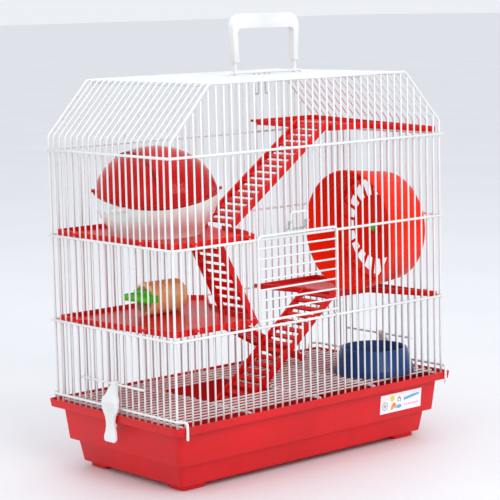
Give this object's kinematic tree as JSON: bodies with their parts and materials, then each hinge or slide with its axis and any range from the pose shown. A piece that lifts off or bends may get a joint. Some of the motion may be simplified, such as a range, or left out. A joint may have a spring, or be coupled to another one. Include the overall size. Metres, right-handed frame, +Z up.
{
  "type": "hamster cage",
  "caption": "Wire hamster cage on a plastic tray, with shelves, ladders, a running wheel, house, food bowl, hinged door, side clips and carrying handle.",
  "frame": {"origin": "on the floor under the middle of the cage", "axes": "+X along the cage, -Y is the door side, +Z up"},
  "size_m": [0.4454, 0.2454, 0.52],
  "materials": {
    "white_coated_wire": "glossy white powder coat over steel wire",
    "red_tray_plastic": "moulded, softly glossy deep red",
    "red_shelf_plastic": "moulded, glossy bright red",
    "red_wheel_plastic": "moulded, slightly translucent bright red",
    "dark_red_plastic": "moulded, very glossy deep red",
    "ivory_plastic": "moulded, glossy ivory",
    "white_plastic": "moulded, satin white",
    "green_plastic": "moulded, glossy green",
    "navy_plastic": "moulded, glossy navy blue",
    "zinc_wire": "bright zinc-plated wire",
    "wood": "smooth light wood",
    "printed_label": "printed sticker with plain pictograms"
  },
  "bodies": {
    "cage": {"back_bars": "white_coated_wire", "back_belts": "white_coated_wire", "back_outline_wire": "white_coated_wire", "chew_comb": "green_plastic", "chew_log": "wood", "floor_grille_cross_wires": "white_coated_wire", "floor_grille_wires": "white_coated_wire", "front_bars": "white_coated_wire", "front_belts": "white_coated_wire", "front_outline_wire": "white_coated_wire", "handle_rod": "white_coated_wire", "hatch_ladder": "red_shelf_plastic", "house_base": "ivory_plastic", "house_catch": "white_plastic", "latch_spring_wire": "zinc_wire", "left_belts": "white_coated_wire", "left_clip_bar": "white_coated_wire", "left_end_bars": "white_coated_wire", "left_hold_down_wire": "white_coated_wire", "left_ladder": "red_shelf_plastic", "left_slope_bars": "white_coated_wire", "lower_ladder": "red_shelf_plastic", "lower_left_shelf": "red_shelf_plastic", "middle_right_shelf": "red_shelf_plastic", "right_belts": "white_coated_wire", "right_clip_bar": "white_coated_wire", "right_end_bars": "white_coated_wire", "right_hold_down_wire": "white_coated_wire", "right_slope_bars": "white_coated_wire", "roof_bars": "white_coated_wire", "roof_cross_wires": "white_coated_wire", "roof_hook": "zinc_wire", "top_right_shelf": "red_shelf_plastic", "tray": "red_tray_plastic", "tray_feet": "red_tray_plastic", "tray_label": "printed_label", "upper_ladder": "red_shelf_plastic", "upper_left_shelf": "red_shelf_plastic", "wheel_axle": "zinc_wire", "wheel_inner_plate": "red_wheel_plastic", "wheel_outer_plate": "red_wheel_plastic"},
    "left_clip": {"left_clip": "white_plastic"},
    "right_clip": {"right_clip": "white_plastic"},
    "door": {"door_frame": "white_coated_wire", "door_bars": "white_coated_wire"},
    "door_latch": {"door_latch": "white_coated_wire"},
    "carry_handle": {"carry_handle": "white_plastic"},
    "wheel": {"wheel_drum": "red_wheel_plastic", "wheel_hub_cap": "green_plastic"},
    "house_lid": {"house_lid": "dark_red_plastic"},
    "food_bowl": {"food_bowl": "navy_plastic"}
  },
  "joints": [
    {"name": "left_clip_hinge", "type": "hinge", "parent": "cage", "child": "left_clip", "pos_m": [-0.21145, -0.0055, 0.114], "axis": [0, 1, 0], "range_deg": [0, 100]},
    {"name": "right_clip_hinge", "type": "hinge", "parent": "cage", "child": "right_clip", "pos_m": [0.21145, -0.0055, 0.114], "axis": [0, -1, 0], "range_deg": [0, 100]},
    {"name": "door_hinge", "type": "hinge", "parent": "cage", "child": "door", "pos_m": [-0.0275, -0.11265, 0.1737], "axis": [1, 0, 0], "range_deg": [0, 150]},
    {"name": "latch_slide", "type": "slide", "parent": "cage", "child": "door_latch", "axis": [0, 0, 1], "range_m": [0, 0.007], "stiffness_N_per_m": 60, "springref_m": -0.002},
    {"name": "handle_hinge", "type": "hinge", "parent": "cage", "child": "carry_handle", "pos_m": [0.0275, 0, 0.4514], "axis": [1, 0, 0], "range_deg": [-75, 75]},
    {"name": "wheel_spin", "type": "hinge", "parent": "cage", "child": "wheel", "pos_m": [0.19, -0.0255, 0.254], "axis": [1, 0, 0], "continuous": true},
    {"name": "lid_lift", "type": "slide", "parent": "cage", "child": "house_lid", "axis": [0, 0, 1], "range_m": [0, 0.025]},
    {"name": "bowl_lift", "type": "slide", "parent": "cage", "child": "food_bowl", "axis": [0, 0, 1], "range_m": [0, 0.04]}
  ]
}
